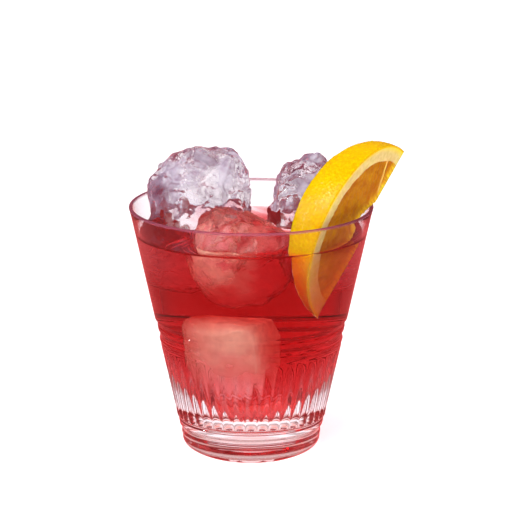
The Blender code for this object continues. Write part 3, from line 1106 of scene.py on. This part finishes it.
def glass_material(name, mirroring, tint):
    """Clear glass whose lip carries a little painted haze in the drink's red, standing in for the drink that
    the lip would show by refraction.
    """
    graph = material_graph(name)
    clear = clear_shader(graph, GLASS_IOR, mirroring, tint, bumps(graph, *GLASS_WAVES))
    height = part_of(graph, object_place(graph), "Z")
    lip_paint_from = GLASS_HEIGHT - LIP_PAINT_DEPTH
    lip_paint = ranged(graph, height, lip_paint_from, lip_paint_from + LIP_PAINT_DEPTH / 2, 0.0, LIP_PAINT_SHARE)
    body = blended(graph, lip_paint, clear, cloudy(graph, colour(*LIP_PAINTED_RED_TONE)))
    return graph.finish(clear_to_lamps(graph, body))


def drink_material():
    """Clear red drink."""
    graph = material_graph("red_drink_fine")
    clear = clear_shader(graph, DRINK_IOR, SUNK_MIRRORING, normal=bumps(graph, *DRINK_WAVES))
    volume = graph.node("ShaderNodeVolumeAbsorption")
    volume.inputs["Color"].default_value = DRINK_TINT
    volume.inputs["Density"].default_value = DRINK_DENSITY
    return graph.finish(clear_to_lamps(graph, clear), volume.outputs[0])


def foot_shine(graph, place_in):
    """Where the drink's red light is painted into the ice: ragged patches just above the level."""
    rag = patches_of(graph, place_in, *FOOT_SHINE_PATCHES)
    ragged = worked_out(graph, "MULTIPLY_ADD", rag, FOOT_SHINE_RAG, part_of(graph, place_in, "Z"))
    top = DRINK_LEVEL + FOOT_SHINE_TOP
    return ranged(graph, ragged, top, top - FOOT_SHINE_EDGE)


def faded(graph, amount, place_in, fades):
    """Thins the clouds out along the axis of each fade."""
    for axis, gone_at, whole_at in fades:
        fade = ranged(graph, part_of(graph, place_in, axis), gone_at, whole_at)
        amount = worked_out(graph, "MULTIPLY", fade, amount)
    return amount


def cloud_amount(graph, place_in, clouds):
    """The share of clouds, in patches, from the least to the most."""
    return ranged(graph, patches_of(graph, place_in, *ICE_CLOUD_PATCHES), 0.0, 1.0, *clouds)


def ice_material(name, clouds, tones, foot=None):
    """Rippled ice with cloudy patches whose tones are partly painted reflections, and with the drink's red
    light painted at its foot where it would shine up into the ice.
    """
    graph = material_graph(name)
    place_in = object_place(graph)
    clear = clear_shader(graph, ICE_IOR, ICE_MIRRORING, normal=bumps(graph, *ICE_WAVES))
    tone = patchy(graph, place_in, ICE_TONE_PATCHES, tones)
    amount = cloud_amount(graph, place_in, clouds)
    if foot:
        shine = foot_shine(graph, place_in)
        tone = mixed(graph, shine, tone, colour(*foot))
        amount = worked_out(graph, "MULTIPLY_ADD", shine, FOOT_SHINE_SHARE, amount, clamped=True)
    body = blended(graph, amount, clear, cloudy(graph, tone))
    return graph.finish(clear_to_lamps(graph, body))


def sunk_material(name, clouds, fades=()):
    """Ice in the drink, which bends light as the drink does, so that only its clouds show."""
    graph = material_graph(name)
    place_in = object_place(graph)
    clear = clear_shader(graph, DRINK_IOR, SUNK_MIRRORING)
    tone = patchy(graph, place_in, ICE_TONE_PATCHES, SALMON_TONES)
    amount = faded(graph, cloud_amount(graph, place_in, clouds), place_in, fades)
    body = blended(graph, amount, clear, cloudy(graph, tone))
    return graph.finish(clear_to_lamps(graph, body))


def wedge_layer(graph, name):
    return graph.node("ShaderNodeAttribute", attribute_name=name).outputs["Fac"]


def orange_colour(graph, place_in):
    """Flecked rind, pith with zest by the rind, and flesh with a torn fringe and a membrane, with painted
    light making it lighter and yellower just under the drink's level.
    """
    rind = patchy(graph, place_in, RIND_PATCHES, RIND_TONES)
    rind = mixed(graph, patches_of(graph, place_in, *RIND_FLECKS), rind, colour(*FLECK_TONE))
    pith = patchy(graph, place_in, PITH_FIBRES, PITH_TONES)
    pith = mixed(graph, wedge_layer(graph, "zest"), pith, colour(*ZEST_TONE))
    flesh = patchy(graph, place_in, FLESH_SACS, FLESH_TONES)
    flesh = mixed(graph, wedge_layer(graph, "fringe"), flesh, colour(*FRINGE_TONE))
    flesh = mixed(graph, wedge_layer(graph, "membrane"), flesh, colour(*MEMBRANE_TONE))
    inside = mixed(graph, wedge_layer(graph, "flesh"), pith, flesh)
    whole = mixed(graph, wedge_layer(graph, "rind"), inside, rind)
    height = part_of(graph, place_in, "Z")
    # Painted light: lighter yellow just under the drink's level
    painted_light_under_drink = ranged(graph, height, DRINK_LEVEL, DRINK_LEVEL - UNDER_DRINK_PAINT_DEPTH, 0.0, UNDER_DRINK_PAINT_SHARE)
    return mixed(graph, painted_light_under_drink, whole, colour(*UNDER_DRINK_PAINTED_LIGHT_TONE))


def orange_material():
    graph = material_graph("orange_fine")
    rind = wedge_layer(graph, "rind")
    shader = graph.node("ShaderNodeBsdfPrincipled")
    graph.feed(shader.inputs["Base Color"], orange_colour(graph, object_place(graph)))
    graph.feed(shader.inputs["Roughness"], ranged(graph, rind, 0.0, 1.0, *ORANGE_ROUGHNESS))
    graph.feed(shader.inputs["Specular IOR Level"], ranged(graph, rind, 0.0, 1.0, *ORANGE_GLOSS))
    graph.feed(shader.inputs["Normal"], bumps(graph, *ORANGE_PORES))
    shader.inputs["Subsurface Weight"].default_value = ORANGE_SCATTER
    shader.inputs["Subsurface Radius"].default_value = ORANGE_SCATTER_COLOURS
    shader.inputs["Subsurface Scale"].default_value = ORANGE_SCATTER_REACH
    return graph.finish(shader.outputs[0])


def glow_on_floor(graph, place_on):
    """The drink's red light, painted on the floor as a soft ellipse."""
    spot = graph.node("ShaderNodeMapping", vector_type="TEXTURE")
    graph.feed(spot.inputs["Vector"], place_on)
    spot.inputs["Location"].default_value = GLOW_CENTRE
    spot.inputs["Scale"].default_value = GLOW_HALF_SIZE
    away = graph.node("ShaderNodeVectorMath", operation="LENGTH")
    graph.feed(away.inputs[0], spot.outputs["Vector"])
    return ranged(graph, away.outputs["Value"], *GLOW_FALLOFF)


def floor_material():
    """A pale floor, which glows a little so that it stays white in soft light."""
    graph = material_graph("studio_floor")
    place_on = object_place(graph)
    tone = mixed(graph, patches_of(graph, place_on, *FLOOR_PATCHES), *FLOOR_TONES)
    # Painted light: the drink's red glow on the floor
    tone = mixed(graph, glow_on_floor(graph, place_on), tone, GLOW_TONE)
    # Painted reflection: in mirroring surfaces the floor shows dark red instead of its own white
    mirrored = graph.node("ShaderNodeLightPath").outputs["Glossy Depth"]
    tone = mixed(graph, mirrored, tone, MIRRORED_FLOOR)
    shader = graph.node("ShaderNodeBsdfPrincipled")
    graph.feed(shader.inputs["Base Color"], tone)
    graph.feed(shader.inputs["Emission Color"], tone)
    shader.inputs["Emission Strength"].default_value = FLOOR_GLOW
    shader.inputs["Roughness"].default_value = FLOOR_ROUGHNESS
    shader.inputs["Specular IOR Level"].default_value = FLOOR_SPECULAR
    return graph.finish(shader.outputs[0])


# Studio

def make_floor():
    mesh = bpy.data.meshes.new("studio_floor")
    angles = [2 * math.pi * side / FLOOR_SIDES for side in range(FLOOR_SIDES)]
    ring = [(FLOOR_RADIUS * math.cos(a), FLOOR_RADIUS * math.sin(a), -FLOOR_DROP) for a in angles]
    mesh.from_pydata(ring, [], [tuple(range(FLOOR_SIDES))])
    mesh.materials.append(floor_material())
    ground = bpy.data.objects.new("studio_floor", mesh)
    bpy.context.scene.collection.objects.link(ground)


def ramp(graph, value, stops):
    """Colours along a value, from stops of (place, colour)."""
    made = graph.node("ShaderNodeValToRGB")
    graph.feed(made.inputs["Fac"], value)
    elements = made.color_ramp.elements
    for element, (place_at, tone) in zip(elements, (stops[0], stops[-1])):
        element.position = place_at
        element.color = tone
    for place_at, tone in stops[1:-1]:
        elements.new(place_at).color = tone
    return made.outputs["Color"]


def make_world():
    """Lilac air, dimmer overhead and to the front, salmon through clear matter and red where mirrored."""
    world = bpy.data.worlds.new("studio")
    graph = Graph(world)
    heading = graph.node("ShaderNodeTexCoord").outputs["Generated"]
    rise = part_of(graph, heading, "Z")
    to_back = ranged(graph, part_of(graph, heading, "Y"), *FRONT_TO_BACK)
    dimming = ramp(graph, to_back, FRONT_TO_BACK_TONES)
    air = mixed(graph, 1.0, ramp(graph, rise, AIR_TONES), dimming, "MULTIPLY")
    path = graph.node("ShaderNodeLightPath")
    tone = mixed(graph, path.outputs["Is Transmission Ray"], air, ramp(graph, rise, THROUGH_TONES))
    tone = mixed(graph, path.outputs["Glossy Depth"], tone, MIRRORED_AIR)
    sky = graph.node("ShaderNodeBackground")
    graph.feed(sky.inputs["Color"], tone)
    sky.inputs["Strength"].default_value = AIR_STRENGTH
    output = graph.node("ShaderNodeOutputWorld")
    graph.feed(output.inputs["Surface"], sky.outputs[0])
    bpy.context.scene.world = world


def make_lamps():
    for name, place_at, target, width, height, power, mirrored, seen_through in LAMPS:
        light = bpy.data.lights.new(name, "AREA")
        light.shape = "RECTANGLE"
        light.size = width
        light.size_y = height
        light.energy = power
        lamp = bpy.data.objects.new(name, light)
        lamp.location = place_at
        lamp.rotation_euler = (Vector(target) - Vector(place_at)).to_track_quat("-Z", "Y").to_euler()
        lamp.visible_glossy = mirrored
        lamp.visible_transmission = seen_through
        bpy.context.scene.collection.objects.link(lamp)


def make_camera():
    """The camera looks past the target, so that the target falls on its place in the frame."""
    camera = bpy.data.cameras.new("camera")
    camera.lens = CAMERA_LENS
    camera.sensor_width = CAMERA_SENSOR
    camera.clip_start, camera.clip_end = CAMERA_REACH
    view = bpy.data.objects.new("camera", camera)
    bpy.context.scene.collection.objects.link(view)
    back = Vector((0, -math.cos(CAMERA_RISE), math.sin(CAMERA_RISE)))
    view.location = CAMERA_TARGET + back * CAMERA_DISTANCE
    focal = CAMERA_LENS / CAMERA_SENSOR * FRAME_WIDTH
    turn_right = math.atan((FRAME_WIDTH / 2 - TARGET_COLUMN) / focal)
    turn_up = math.atan((TARGET_ROW - FRAME_WIDTH / 2) / focal)
    view.rotation_euler = (math.pi / 2 - CAMERA_RISE + turn_up, 0.0, -turn_right)
    bpy.context.scene.camera = view


def set_render():
    scene = bpy.context.scene
    scene.view_settings.view_transform = "Standard"
    scene.view_settings.look = "None"
    cycles = scene.cycles
    cycles.max_bounces = CLEAR_BOUNCES
    cycles.transmission_bounces = CLEAR_BOUNCES
    cycles.transparent_max_bounces = SHADOW_BOUNCES
    cycles.glossy_bounces = MIRROR_BOUNCES
    cycles.diffuse_bounces = MATT_BOUNCES
    cycles.use_denoising = True


def ice_surfaces():
    """Each block's material above the level and the one below it, where the drink wets the ice."""
    lilac = ice_material("wet_ice_lilac", LILAC_CLOUDS, LILAC_TONES, FOOT_SHINE_TONE)
    # The front block's clouds are painted with the drink's red light
    painted_red_ice = ice_material("wet_ice_painted_red", DRINK_RED_PAINTED_CLOUDS, DRINK_RED_PAINTED_TONES)
    front = sunk_material("sunk_ice_front", FRONT_CLOUDS, FRONT_FADES)
    hidden = sunk_material("sunk_ice_clear", HIDDEN_CLOUDS)
    return {
        "ice_back_left": (lilac, hidden),
        "ice_back_right": (lilac, hidden),
        "ice_front": (painted_red_ice, front),
    }


def build():
    make_camera()
    surfaces = ice_surfaces()
    outside = glass_material("clear_glass_fine", GLASS_MIRRORING, GLASS_TINT)
    make_glass(outside, glass_material("clear_glass_inside", INSIDE_MIRRORING, NO_TINT))
    wedge = make_wedge(orange_material())
    blocks = {name: ice_mesh(f"{name}_fine", sections, seed) for name, sections, seed in ICE_BLOCKS}
    slab = make_sunk_ice()
    make_drink(drink_material(), list(blocks.values()), slab, wedge.data.copy())
    for name, mesh in blocks.items():
        above, below = surfaces[name]
        place(f"{name}_clear", mesh, above, "ice", name, inner=below, is_inner=under_level)
    place("sunk_ice_low", slab, sunk_material("sunk_ice", SLAB_CLOUDS, SLAB_FADES), "ice")
    make_floor()
    make_world()
    make_lamps()
    set_render()


build()
